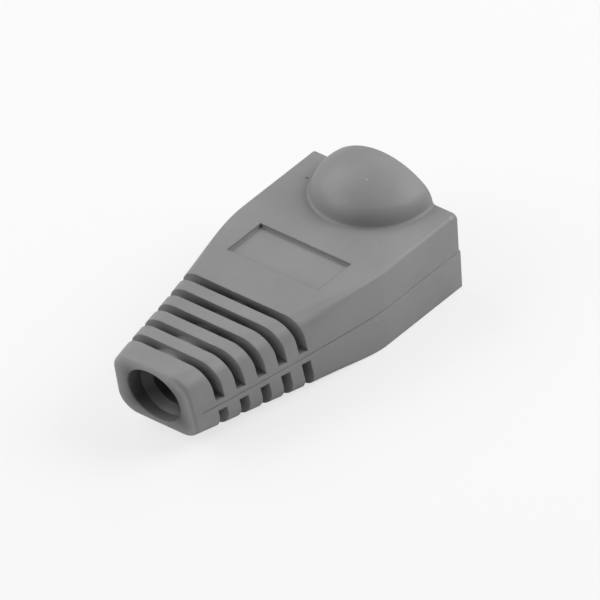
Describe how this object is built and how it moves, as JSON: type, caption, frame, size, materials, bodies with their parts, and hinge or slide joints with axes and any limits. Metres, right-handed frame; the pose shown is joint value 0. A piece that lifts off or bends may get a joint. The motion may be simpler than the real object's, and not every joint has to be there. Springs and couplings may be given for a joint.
{
  "type": "rj45 strain relief boot",
  "caption": "Soft moulded boot that covers a network plug: square mouth with a rounded latch hood, bare label recess, and a tapered ribbed tail with a round cable hole.",
  "frame": {"origin": "middle of the bounding box, at the underside", "axes": "+X along the boot towards the mouth that takes the plug, the cable leaves at -X; +Z is the side with the latch hood; the flat underside rests at Z = 0"},
  "size_m": [0.0314, 0.0156, 0.011],
  "materials": {
    "soft_pvc": "satin"
  },
  "bodies": {
    "root": {"strain_relief_boot": "soft_pvc"}
  },
  "joints": []
}
